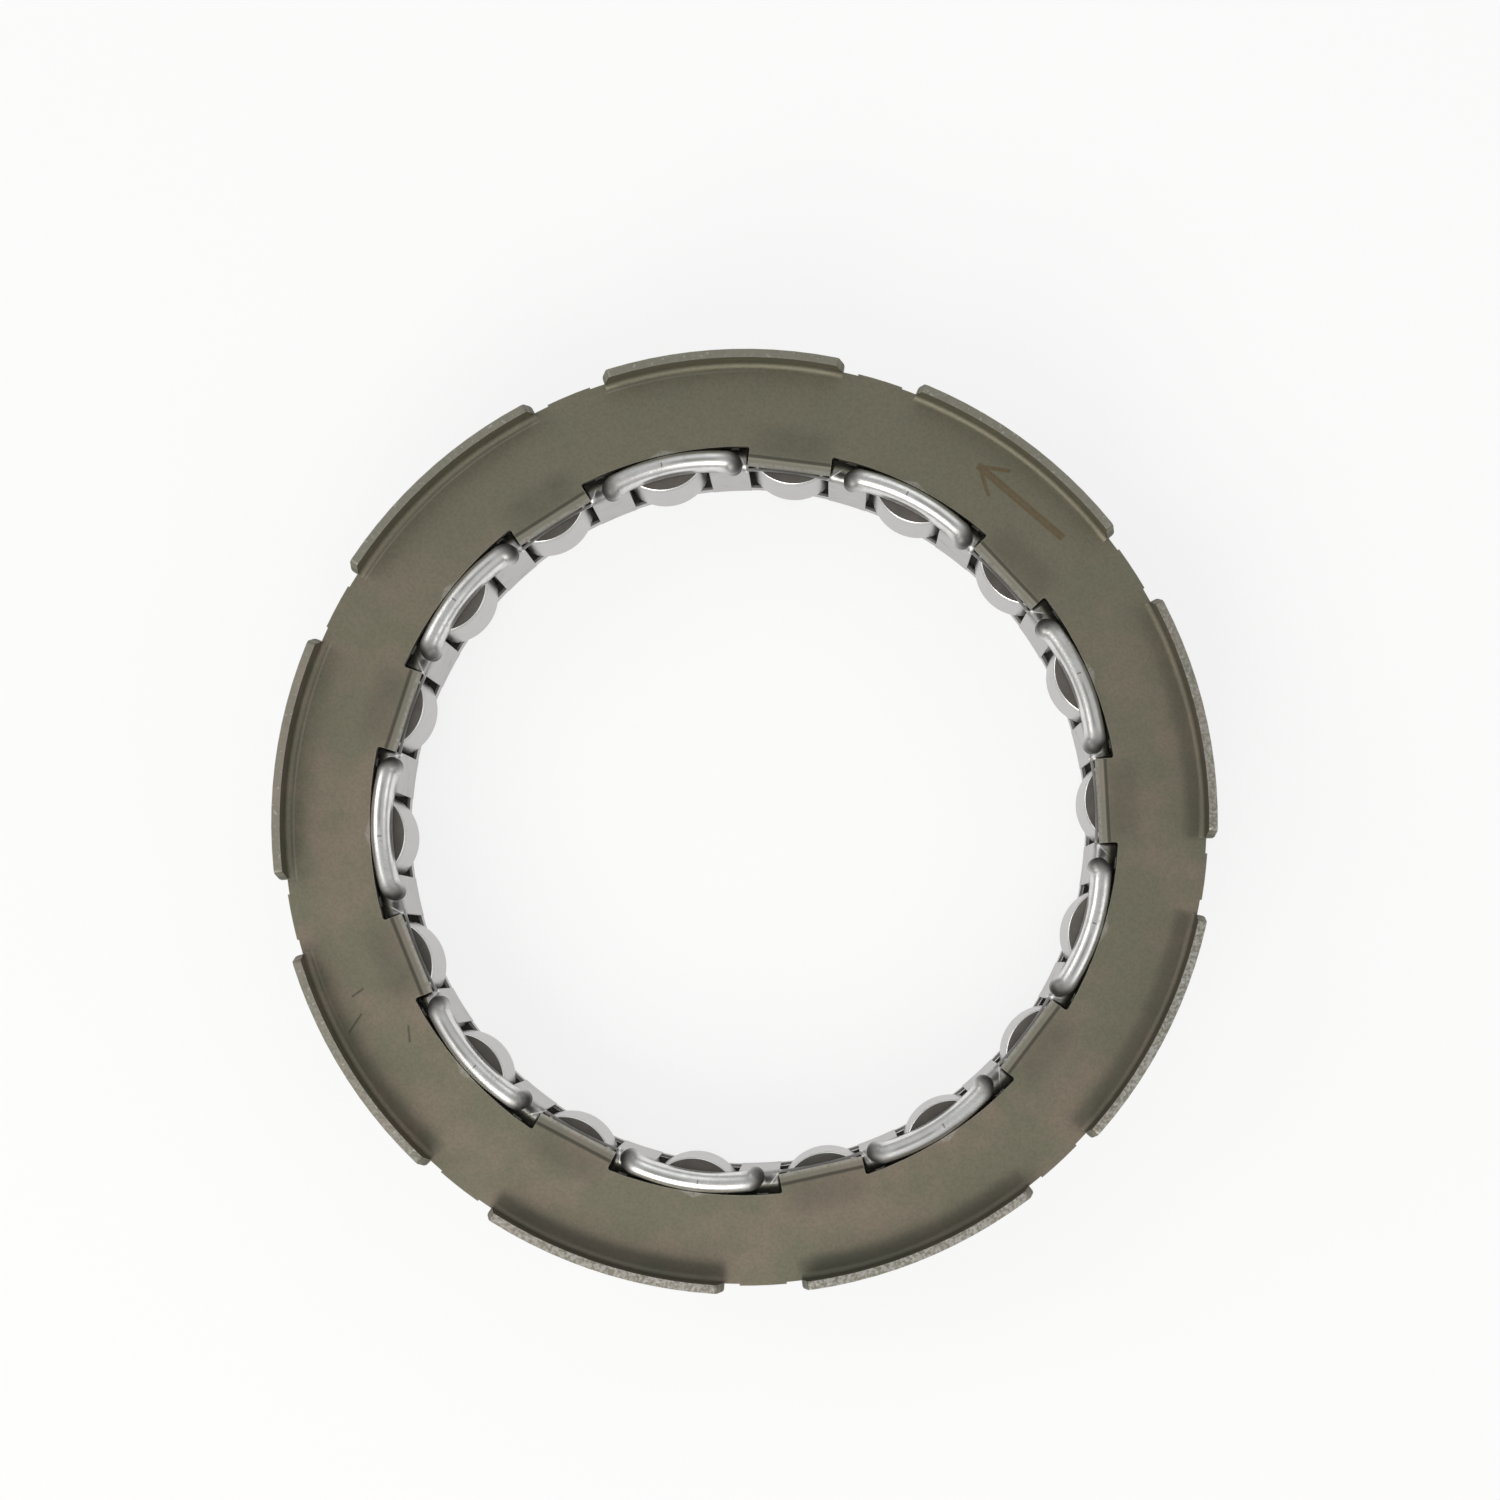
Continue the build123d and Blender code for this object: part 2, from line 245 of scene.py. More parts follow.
class Recipe:
    """Builds the node tree of one material."""

    def __init__(self, name: str) -> None:
        """Start an empty tree.

        Args:
            name: The material's name.
        """
        self.material = bpy.data.materials.new(name)
        self.material.use_nodes = True
        self.tree = self.material.node_tree
        self.tree.nodes.clear()

    def node(self, kind: str, settings: dict[str, object] | None = None,
             sockets: dict[str | int, object] | None = None) -> bpy.types.Node:
        """Add one node.

        Args:
            kind: The node's type.
            settings: Its properties, set first.
            sockets: A value, a socket or a signal for each input.

        Returns:
            The node.
        """
        made = self.tree.nodes.new(kind)
        for key, value in (settings or {}).items():
            setattr(made, key, value)
        for key, value in (sockets or {}).items():
            source = value.socket if isinstance(value, Signal) else value
            if isinstance(source, bpy.types.NodeSocket):
                self.tree.links.new(source, made.inputs[key])
            else:
                made.inputs[key].default_value = source
        return made

    def maths(self, operation: str, *terms: "Signal | float") -> Signal:
        """Add a Math node.

        Args:
            operation: Its operation.
            terms: One entry for each input.

        Returns:
            Its result.
        """
        made = self.node("ShaderNodeMath", {"operation": operation}, dict(enumerate(terms)))
        return Signal(self, made.outputs[0])

    def place(self) -> Place:
        """Read where the surface lies, in object coordinates."""
        vector = self.node("ShaderNodeTexCoord").outputs["Object"]
        parts = self.node("ShaderNodeSeparateXYZ", sockets={"Vector": vector}).outputs
        x, y, z = (Signal(self, parts[axis]) for axis in ("X", "Y", "Z"))
        radius = (x * x + y * y).root()
        turn = self.maths("ARCTAN2", y, x) * (180 / pi)
        return Place(vector, x, y, z, radius, turn)

    def noise(self, vector: bpy.types.NodeSocket, size: float, detail: float = 3.0,
              roughness: float = 0.55, shift: float = 0.0) -> Signal:
        """Add a noise pattern.

        Args:
            vector: The coordinates that it reads.
            size: Size of its features, in metres.
            detail: Its octaves.
            roughness: How much the fine octaves count.
            shift: Moves the pattern, so that two of the same size differ.

        Returns:
            The noise, about 0.5 on average.
        """
        moved = self.node(
            "ShaderNodeMapping",
            sockets={"Vector": vector, "Location": (shift, shift / 2, -shift), "Scale": (1 / size,) * 3},
        ).outputs[0]
        made = self.node(
            "ShaderNodeTexNoise",
            sockets={"Vector": moved, "Scale": 1.0, "Detail": detail, "Roughness": roughness},
        )
        return Signal(self, made.outputs[0])

    def polar_vector(self, place: Place, along: float, across: float) -> bpy.types.NodeSocket:
        """Coordinates that run round and across the ring, for streaks that follow it.

        Args:
            place: The surface's place.
            along: Stretch round the ring, in metres for each unit.
            across: Stretch along the radius and the axis.

        Returns:
            The vector socket.
        """
        around = place.turn * (pi / 180 * MEAN_RADIUS / along)
        made = self.node(
            "ShaderNodeCombineXYZ",
            sockets={"X": around, "Y": place.radius / across, "Z": place.z / across},
        )
        return made.outputs[0]

    def from_angle(self, place: Place, middle_deg: float) -> Signal:
        """Angle from the nearest of the places that repeat with the pattern.

        Args:
            place: The surface's place.
            middle_deg: Angle of one of them.

        Returns:
            The angle, within half a pitch either way.
        """
        half = LAYOUT.pitch_deg / 2
        return self.maths("WRAP", place.turn - middle_deg, -half, half)

    def local(self, place: Place, middle_deg: float) -> tuple[Signal, Signal]:
        """Distances outwards and sideways in the frame of the nearest of the places that repeat.

        Args:
            place: The surface's place.
            middle_deg: Angle of one of them.

        Returns:
            How far out along its radius a point lies, and how far counter-clockwise of it.
        """
        angle = self.from_angle(place, middle_deg) * (pi / 180)
        return place.radius * self.maths("COSINE", angle), place.radius * self.maths("SINE", angle)

    def towards(self, place: Place, angle_deg: float) -> Signal:
        """Tell the sides of the ring apart.

        Args:
            place: The surface's place.
            angle_deg: Direction of the side in question.

        Returns:
            1 on that side, -1 opposite.
        """
        return self.maths("COSINE", (place.turn - angle_deg) * (pi / 180))

    def stroke(self, place: Place, start: tuple[float, float], end: tuple[float, float], half_width: float,
               soft: float) -> Signal:
        """A straight stroke on the face.

        Args:
            place: The surface's place.
            start: Where it starts.
            end: Where it ends.
            half_width: Half of its full part.
            soft: Width of its eased edge.

        Returns:
            The stroke's mask.
        """
        run = Vector((end[0] - start[0], end[1] - start[1]))
        length = run.length
        run.normalize()
        dx, dy = place.x - start[0], place.y - start[1]
        walked = (dx * run.x + dy * run.y).most(0.0).least(length)
        off_x, off_y = dx - walked * run.x, dy - walked * run.y
        return (off_x * off_x + off_y * off_y).root().ramp(half_width + soft, half_width)

    def mix(self, factor: "Signal | float", first: object, second: object) -> bpy.types.NodeSocket:
        """Mix two colours.

        Args:
            factor: Share of the second.
            first: Colour or socket at 0.
            second: Colour or socket at 1.

        Returns:
            The colour socket.
        """
        made = self.node("ShaderNodeMix", {"data_type": "RGBA"}, {0: factor, 6: first, 7: second})
        return made.outputs[2]

    def edge_mask(self, radius: float, strength: float) -> Signal:
        """1 along edges, by comparing a softened normal with the true one.

        Args:
            radius: How far the mask reaches from the edge.
            strength: How quickly it fills in.

        Returns:
            The mask.
        """
        softened = self.node("ShaderNodeBevel", {"samples": 6}, {"Radius": radius}).outputs[0]
        true = self.node("ShaderNodeNewGeometry").outputs["Normal"]
        product = self.node("ShaderNodeVectorMath", {"operation": "DOT_PRODUCT"}, {0: softened, 1: true})
        same = Signal(self, product.outputs["Value"])
        return ((1 - same) * strength).least(1.0)

    def finish(self, colour: object, metallic: object, roughness: object, height: Signal | None = None,
               relief: float = 0.0) -> bpy.types.Material:
        """Close the tree with a Principled shader.

        Args:
            colour: Base colour.
            metallic: Metallic share.
            roughness: Roughness.
            height: Signal that drives the bump.
            relief: Depth of the bump, in metres.

        Returns:
            The material.
        """
        sockets = {"Base Color": colour, "Metallic": metallic, "Roughness": roughness}
        if height is not None:
            bump = self.node("ShaderNodeBump",
                             sockets={"Height": height, "Distance": relief, "Strength": 1.0})
            sockets["Normal"] = bump.outputs[0]
        shader = self.node("ShaderNodeBsdfPrincipled", sockets=sockets)
        self.node("ShaderNodeOutputMaterial", sockets={"Surface": shader.outputs[0]})
        return self.material


@dataclass(frozen=True)
class Scratch:
    """One short handling scratch on the flange's face."""

    angle_deg: float
    radius: float
    length: float
    lean: float


@dataclass(frozen=True)
class PressedSteel:
    """The flange's dull pressed sheet: olive grey with brown patches, bare cut edges with painted sheen,
    painted shade and highlights, and an etched arrow.
    """

    name: str = "Pressed_Sheet"
    olive: Colour = (0.203, 0.195, 0.140, 1)
    brown: Colour = (0.258, 0.216, 0.166, 1)
    # Dark fine grit of the sheet, and the colour of painted shade in dips, hollows and on the lips' inner
    # faces.
    grit_and_shade: Colour = (0.083, 0.081, 0.066, 1)
    # Colour of the scratches, of painted shade in the teeth's groove, and of the darker lips' end faces.
    groove: Colour = (0.055, 0.054, 0.046, 1)
    # Bare cut and rubbed metal, and the colour of painted highlights on the teeth's tips, the lips' creases
    # and their edges.
    bare_metal_and_sheen: Colour = (0.480, 0.470, 0.440, 1)
    etched: Colour = (0.150, 0.105, 0.055, 1)
    lip_top: float = SIZES.lip_top
    face_height: float = SIZES.flange_face
    # Side where the brown patches fade out, as painted shade.
    shaded_side_deg: float = 85.0
    crease_highlight_side_deg: float = 150.0
    painted_light_side_deg: float = 300.0
    dip_shade_radius: float = 27.6 * MM
    tooth_half: float = 3.05 * MM
    tooth_tip: float = SIZES.tooth_tip
    step_line: float = 26.0 * MM
    step_half: float = 3.1 * MM
    groove_line: float = 26.4 * MM
    lip_half_deg: float = 15.25
    hollow_radius: float = 32.75 * MM
    crease_highlight_radius: float = 32.78 * MM
    lip_inside: float = 33.42 * MM
    arrow_radius: float = 30.9 * MM
    arrow_head_deg: float = 56.0
    arrow_tail_deg: float = 41.2
    arrow_gap: float = 0.28 * MM
    barb_length: float = 2.2 * MM
    barb_turn: float = 0.55
    arrow_half_width: float = 0.09 * MM
    scratch_half_width: float = 0.03 * MM
    stroke_soft: float = 0.10 * MM
    scratched: tuple[Scratch, ...] = (
        Scratch(208.0, 31.8 * MM, 1.5 * MM, 0.5),
        Scratch(204.5, 30.7 * MM, 0.9 * MM, 0.2),
        Scratch(213.0, 28.8 * MM, 1.1 * MM, 1.1),
    )

    def arrow(self, recipe: Recipe, place: Place) -> Signal:
        """The etched arrow that shows the driven direction.

        Args:
            recipe: The material's recipe.
            place: The surface's place.

        Returns:
            The mask of its strokes.
        """
        head, tail = (heading(radians(a)) * self.arrow_radius
                      for a in (self.arrow_head_deg, self.arrow_tail_deg))
        along = (tail - head).normalized()
        beside = Vector((-along.y, along.x)) * self.arrow_gap / 2
        strokes = [(head + beside, tail + beside), (head - beside, tail - beside)]
        for side in (-1, 1):
            turned = Matrix.Rotation(side * self.barb_turn, 2) @ along
            strokes.append((head, head + turned * self.barb_length))
        mask = Signal.strongest(
            recipe.stroke(place, tuple(start), tuple(end), self.arrow_half_width, self.stroke_soft)
            for start, end in strokes)
        return mask * place.z.ramp(self.face_height - 0.1 * MM, self.face_height - 0.05 * MM)

    def scratches(self, recipe: Recipe, place: Place) -> Signal:
        """The handling scratches on the face.

        Args:
            recipe: The material's recipe.
            place: The surface's place.

        Returns:
            The mask of all of them.
        """
        marks = []
        for scratch in self.scratched:
            angle = radians(scratch.angle_deg)
            centre = heading(angle) * scratch.radius
            reach = heading(angle + scratch.lean) * scratch.length / 2
            marks.append(recipe.stroke(place, tuple(centre - reach), tuple(centre + reach),
                                       self.scratch_half_width, self.stroke_soft))
        return Signal.strongest(marks) * place.z.ramp(self.face_height - 0.1 * MM, self.face_height)

    def sheet(self, recipe: Recipe, place: Place, blotches: Signal, speckle: Signal) -> bpy.types.NodeSocket:
        """The plain sheet, olive with brown patches that fade on one side as painted shade, and painted
        shade in the dips outside the teeth.

        Args:
            recipe: The material's recipe.
            place: The surface's place.
            blotches: Noise of middling size.
            speckle: Fine noise.

        Returns:
            Its colour.
        """
        patches = recipe.noise(place.vector, 5 * MM, 3)
        # Painted shade: the lighter brown patches fade towards shaded_side_deg, so that side reads darker
        # olive.
        shaded_side = recipe.towards(place, self.shaded_side_deg).ramp(0.1, 0.9)
        warm = (patches * 0.75 + blotches * 0.25).ramp(0.40, 0.64) * (1 - shaded_side * 0.8)
        colour = recipe.mix(warm, self.olive, self.brown)
        colour = recipe.mix(speckle.ramp(0.30, 0.75) * 0.22, colour, self.grit_and_shade)
        from_tooth = recipe.from_angle(place, LAYOUT.first_tooth_deg)
        # Painted shade in the shallow dip of the sheet outside each tooth.
        dip_shade = place.radius.band(self.dip_shade_radius, 0.3 * MM, 1.5 * MM) * abs(from_tooth).ramp(8.0, 3.0)
        return recipe.mix(dip_shade * (blotches * 0.5 + 0.05), colour, self.grit_and_shade)

    def teeth(self, recipe: Recipe, place: Place, speckle: Signal,
              colour: bpy.types.NodeSocket) -> tuple[bpy.types.NodeSocket, Signal]:
        """Draw the teeth's pressed step, painted shade in its groove and a painted highlight along their
        tips.

        Args:
            recipe: The material's recipe.
            place: The surface's place.
            speckle: Fine noise that breaks up the tips' edges.
            colour: The colour so far.

        Returns:
            The new colour, and the groove's mask.
        """
        out, aside = recipe.local(place, LAYOUT.first_tooth_deg)
        on_step = abs(aside).ramp(self.step_half + 0.2 * MM, self.step_half)
        step = out.band(self.step_line, 0.22 * MM, 0.1 * MM) * on_step
        on_tooth = abs(aside).ramp(self.tooth_half + 0.05 * MM, self.tooth_half - 0.05 * MM)
        # Painted shade along the groove at the root of each tooth's step.
        groove = out.band(self.groove_line, 0.05 * MM, 0.12 * MM) * on_tooth
        # Painted highlight along the teeth's tips.
        tip_highlight = out.ramp(self.tooth_tip + 0.32 * MM, self.tooth_tip + 0.10 * MM) * speckle.ramp(0.25, 0.6)
        colour = recipe.mix(step * (0.10 + speckle * 0.15), colour, self.bare_metal_and_sheen)
        colour = recipe.mix(groove * 0.70, colour, self.groove)
        return recipe.mix(tip_highlight * 0.45, colour, self.bare_metal_and_sheen), groove

    def lip_feet(self, recipe: Recipe, place: Place, from_lip: Signal,
                 colour: bpy.types.NodeSocket) -> bpy.types.NodeSocket:
        """Paint shade into the hollow at the lips' feet, and a painted highlight along the crease of the
        bend.

        Args:
            recipe: The material's recipe.
            place: The surface's place.
            from_lip: Angle from the middle of the nearest lip.
            colour: The colour so far.

        Returns:
            The new colour.
        """
        by_lip = from_lip.ramp(self.lip_half_deg + 0.6, self.lip_half_deg - 0.4)
        hollow = place.radius.band(self.hollow_radius, 0.35 * MM, 0.9 * MM) * by_lip
        # Painted shade in the hollow, strongest towards painted_light_side_deg.
        hollow = hollow * recipe.towards(place, self.painted_light_side_deg).ramp(-0.2, 0.6)
        colour = recipe.mix(hollow * 0.50, colour, self.grit_and_shade)
        # Painted highlight along the crease, only towards crease_highlight_side_deg.
        crease = place.radius.band(self.crease_highlight_radius, 0.02 * MM, 0.09 * MM) * by_lip
        crease = crease * recipe.towards(place, self.crease_highlight_side_deg).ramp(0.35, 0.75)
        return recipe.mix(crease * 0.25, colour, self.bare_metal_and_sheen)

    def cut_tops(self, recipe: Recipe, place: Place, speckle: Signal) -> Signal:
        """The cut grain of the lips' tops, with painted glints and a painted lighter side.

        Args:
            recipe: The material's recipe.
            place: The surface's place.
            speckle: Fine noise.

        Returns:
            The mask of the bare metal and its painted glints.
        """
        top = place.z.ramp(self.lip_top - 0.16 * MM, self.lip_top - 0.06 * MM)
        grain = recipe.noise(recipe.polar_vector(place, 0.25 * MM, 0.6 * MM), 1.0, 2, shift=1.7)
        # Painted glints on the cut tops.
        glints = recipe.noise(place.vector, 0.3 * MM, 1, shift=5.9).ramp(0.62, 0.75)
        # Painted light: the cut tops' grit is brighter towards painted_light_side_deg.
        lit_side = recipe.towards(place, self.painted_light_side_deg).ramp(-0.4, 0.8)
        grit = speckle.ramp(0.38, 0.62) * (0.08 + lit_side * 0.55)
        return top * (0.04 + grain * 0.25 + grit + glints * 0.45).least(1.0)

    def build(self) -> bpy.types.Material:
        """Build the material."""
        recipe = Recipe(self.name)
        place = recipe.place()
        blotches = recipe.noise(place.vector, 1.6 * MM, 4, shift=3.1)
        speckle = recipe.noise(place.vector, 0.22 * MM, 2, shift=7.3)
        from_lip = abs(recipe.from_angle(place, LAYOUT.lip_deg))
        colour = self.sheet(recipe, place, blotches, speckle)
        colour, groove = self.teeth(recipe, place, speckle, colour)
        colour = self.lip_feet(recipe, place, from_lip, colour)

        standing = place.z.ramp(self.face_height + 0.1 * MM, self.face_height + 0.5 * MM)
        # Painted shade on the lips' inner faces.
        inner_face = place.radius.ramp(self.lip_inside, self.lip_inside - 0.12 * MM) * standing
        colour = recipe.mix(inner_face * 0.55, colour, self.grit_and_shade)
        colour = recipe.mix(self.cut_tops(recipe, place, speckle), colour, self.bare_metal_and_sheen)
        # Rubbed edges, lightened both as bare metal and as painted edge highlight.
        edge_wear_and_sheen = recipe.edge_mask(0.12 * MM, 5.0)
        colour = recipe.mix(edge_wear_and_sheen * (0.15 + blotches * 0.4), colour, self.bare_metal_and_sheen)
        lip_end = from_lip.ramp(self.lip_half_deg - 0.55, self.lip_half_deg - 0.15) * standing
        colour = recipe.mix(lip_end * 0.6, colour, self.groove)
        arrow = self.arrow(recipe, place) * (0.45 + speckle * 0.5)
        colour = recipe.mix(arrow, colour, self.etched)
        colour = recipe.mix(self.scratches(recipe, place) * 0.6, colour, self.groove)

        rough = 0.52 + blotches * 0.10 - edge_wear_and_sheen * 0.12 + arrow * 0.1
        height = speckle * 0.7 + blotches * 0.6 - groove * 1.5
        return recipe.finish(colour, 0.82, rough, height, 0.012 * MM)


@dataclass(frozen=True)
class DrawnSteel:
    """The outer cage's drawn sheet, with faint draw lines along the axis, rubbed edges lightened partly as
    painted sheen, and painted shade over its inside.
    """

    name: str = "Drawn_Sheet"
    pale: Colour = (0.480, 0.470, 0.420, 1)
    dark: Colour = (0.300, 0.300, 0.265, 1)
    # Colour of the painted shade inside the cup.
    recess_shade: Colour = (0.260, 0.252, 0.236, 1)
    # Rubbed edges, partly painted sheen.
    rubbed_and_sheen: Colour = (0.620, 0.610, 0.570, 1)
    inner_radius: float = 30.2 * MM
    rail_top: float = 0.6 * MM

    def build(self) -> bpy.types.Material:
        """Build the material."""
        recipe = Recipe(self.name)
        place = recipe.place()
        patches = recipe.noise(place.vector, 4 * MM, 3, shift=2.2)
        lines = recipe.noise(recipe.polar_vector(place, 0.12 * MM, 4 * MM), 1.0, 3, shift=4.4)
        edge_wear_and_sheen = recipe.edge_mask(0.1 * MM, 5.0)
        colour = recipe.mix(patches.ramp(0.35, 0.65) * 0.6 + lines * 0.3, self.dark, self.pale)
        colour = recipe.mix(edge_wear_and_sheen * 0.5, colour, self.rubbed_and_sheen)
        # Painted shade over the inside of the cup.
        inside = place.radius.ramp(self.inner_radius + 0.25 * MM, self.inner_radius + 0.05 * MM)
        inside = inside * place.z.ramp(self.rail_top - 0.15 * MM, self.rail_top - 0.02 * MM)
        colour = recipe.mix(inside * (0.75 + patches * 0.2), colour, self.recess_shade)
        return recipe.finish(colour, 0.85, 0.42 + patches * 0.12, lines, 0.006 * MM)


@dataclass(frozen=True)
class WallStrip:
    """The inner cage's strip: plain grey and dull, with painted shade in its pockets and beside the loops,
    painted light at the web's outer corners and painted highlights along its edges.
    """

    name: str = "Wall_Strip"
    plain: Colour = (0.470, 0.461, 0.450, 1)
    # edge: colour of the painted highlight along the strip's edges.
    edge: Colour = (0.850, 0.845, 0.830, 1)
    # Colour of the painted shade down in the pockets.
    recess_shade: Colour = (0.200, 0.192, 0.180, 1)
    # Colour of the painted shade on the web beside the teeth.
    valley_shade: Colour = (0.075, 0.072, 0.064, 1)
    # rim: colour of the painted light at the web's outer corners by the notches.
    rim: Colour = (0.700, 0.680, 0.600, 1)
    stain: Colour = (0.170, 0.165, 0.155, 1)
    wall_radius: float = SIZES.strip_wall
    web_foot: float = 7.7 * MM
    valley_shade_deg: float = 8.3
    corner_radius: float = 26.3 * MM
    line_bore: float = SIZES.strip_bore
    line_run: float = 0.95 * MM
    line_core: float = 0.03 * MM
    line_half: float = 0.11 * MM
    line_places: tuple[tuple[int, float, float], ...] = (
        (-1, 3.05 * MM, 4.15 * MM),
        (1, 3.25 * MM, 3.75 * MM),
    )

    def build(self) -> bpy.types.Material:
        """Build the material."""
        recipe = Recipe(self.name)
        place = recipe.place()
        clouds = recipe.noise(place.vector, 1.4 * MM, 3, shift=5.5)
        grain = recipe.noise(recipe.polar_vector(place, 2.5 * MM, 0.12 * MM), 1.0, 3, shift=0.7)
        blots = recipe.noise(place.vector, 0.7 * MM, 2, shift=3.3)
        colour = recipe.mix(clouds.ramp(0.56, 0.82) * 0.35, self.plain, self.stain)
        # Painted shade down in the pockets below the web.
        pocket = place.radius.ramp(self.wall_radius + 0.02 * MM, self.wall_radius + 0.12 * MM)
        pocket = pocket * place.z.ramp(self.web_foot + 0.1 * MM, self.web_foot)
        colour = recipe.mix(pocket * (0.7 + clouds * 0.4).least(1.0), colour, self.recess_shade)

        on_web = place.z.ramp(self.web_foot, self.web_foot + 0.1 * MM)
        from_tooth = recipe.from_angle(place, LAYOUT.first_tooth_deg)
        # Painted shade on the web beside each tooth, running to the bore, except at the outer corner.
        valley = (abs(from_tooth) + (blots - 0.5) * 2.0).band(self.valley_shade_deg, 0.35, 0.8)
        valley = valley * place.radius.ramp(SIZES.strip_bore, SIZES.strip_bore + 0.6 * MM)
        corner = place.radius.ramp(self.corner_radius, self.corner_radius + 0.45 * MM) * on_web
        dark = valley * (1 - corner) * on_web
        colour = recipe.mix(dark * (0.55 + clouds * 0.7).least(1.0), colour, self.valley_shade)
        # Painted light at the web's outer corner, where light shows through the notch.
        colour = recipe.mix(corner * 0.85, colour, self.rim)
        out, aside = recipe.local(place, LAYOUT.first_tooth_deg)
        line = Signal.strongest(
            self.bright_line(out, aside * side, inner, outer) for side, inner, outer in self.line_places)
        # Painted highlight along the strip's edges.
        colour = recipe.mix(line * on_web * (0.5 + clouds * 0.6).least(1.0), colour, self.edge)
        rough = 0.30 + clouds * 0.12 + grain * 0.08
        return recipe.finish(colour, 1.0, rough, grain * 0.3 + clouds * 0.5, 0.006 * MM)

    def bright_line(self, out: Signal, aside: Signal, inner: float, outer: float) -> Signal:
        """A painted highlight along the edge of the strip that crosses the web beside a tooth.

        Args:
            out: Distance out along the tooth.
            aside: Distance beside it.
            inner: How far beside it the line starts, at the bore.
            outer: How far beside it the line ends, at the web's outside.

        Returns:
            The line's mask.
        """
        climb = (out - self.line_bore) * (1 / self.line_run)
        middle = inner + climb * (outer - inner)
        return abs(aside - middle).ramp(self.line_half, self.line_core)


@dataclass(frozen=True)
class LoopStrip:
    """The loops' bright satin strip: dented on one half, with a painted dark reflection along the crest on
    the other, and painted shade at the ends.
    """

    name: str = "Loop_Strip"
    bright: Colour = (0.820, 0.815, 0.800, 1)
    dull: Colour = (0.360, 0.350, 0.330, 1)
    dark: Colour = (0.050, 0.048, 0.044, 1)
    arc_centre: float = 11.0 * MM
    arc_radius: float = SIZES.loop_arc
    end_shade_start: float = 3.4 * MM
    end_shade_end: float = 5.05 * MM
    dark_reflection_at: float = -0.08 * MM
    seam_at: float = 0.55 * MM

    def build(self) -> bpy.types.Material:
        """Build the material."""
        recipe = Recipe(self.name)
        place = recipe.place()
        out, aside = recipe.local(place, LAYOUT.loop_angles()[0])
        reach = out - self.arc_centre
        across = (reach * reach + aside * aside).root() - self.arc_radius
        clouds = recipe.noise(place.vector, 1.1 * MM, 3, shift=5.5)
        fine = recipe.noise(place.vector, 0.16 * MM, 3, 0.6, shift=2.9)
        dents = recipe.noise(place.vector, 0.35 * MM, 3, 0.65, shift=9.1).ramp(0.52, 0.74)
        dented = aside.ramp(-0.6 * MM, 0.8 * MM)
        dark_line_half = aside.ramp(0.3 * MM, -0.6 * MM) * aside.ramp(-4.0 * MM, -3.0 * MM)

        colour = recipe.mix(clouds.ramp(0.35, 0.75) * 0.28, self.bright, self.dull)
        colour = recipe.mix((dents * 0.45 + fine.ramp(0.45, 0.75) * 0.25) * dented, colour, self.dull)
        # Painted dark reflection along the crest, on one half of each loop.
        line = across.band(self.dark_reflection_at, 0.03 * MM, 0.09 * MM) * dark_line_half
        colour = recipe.mix(line * (0.35 + clouds * 0.5), colour, self.dull)
        on_crest = across.band(-0.05 * MM, 0.12 * MM, 0.1 * MM)
        seam = aside.band(self.seam_at, 0.03 * MM, 0.05 * MM) * on_crest
        colour = recipe.mix(seam * 0.6, colour, self.dark)
        # Painted shade over the rounded ends of each loop.
        ends = abs(aside).ramp(self.end_shade_start, self.end_shade_end)
        colour = recipe.mix(ends * (0.85 + clouds * 0.2).least(1.0), colour, self.dark)

        rough = 0.27 + clouds * 0.10 + dents * dented * 0.12 + ends * 0.35
        height = fine * 0.25 * dented - dents * dented * 0.3 - line * 0.7 + clouds * 0.4
        return recipe.finish(colour, 1.0, rough, height, 0.014 * MM)


@dataclass(frozen=True)
class SpringStrip:
    """Blue-grey spring strip with rolling lines under a film of oil."""

    name: str = "Spring_Strip"
    pale: Colour = (0.360, 0.355, 0.345, 1)
    dark: Colour = (0.200, 0.200, 0.195, 1)

    def build(self) -> bpy.types.Material:
        """Build the material."""
        recipe = Recipe(self.name)
        place = recipe.place()
        lines = recipe.noise(recipe.polar_vector(place, 3 * MM, 0.1 * MM), 1.0, 3, shift=6.1)
        clouds = recipe.noise(place.vector, 2 * MM, 3, shift=1.2)
        colour = recipe.mix(lines * 0.6 + clouds * 0.3, self.dark, self.pale)
        return recipe.finish(colour, 1.0, 0.30 + clouds * 0.12, lines, 0.004 * MM)


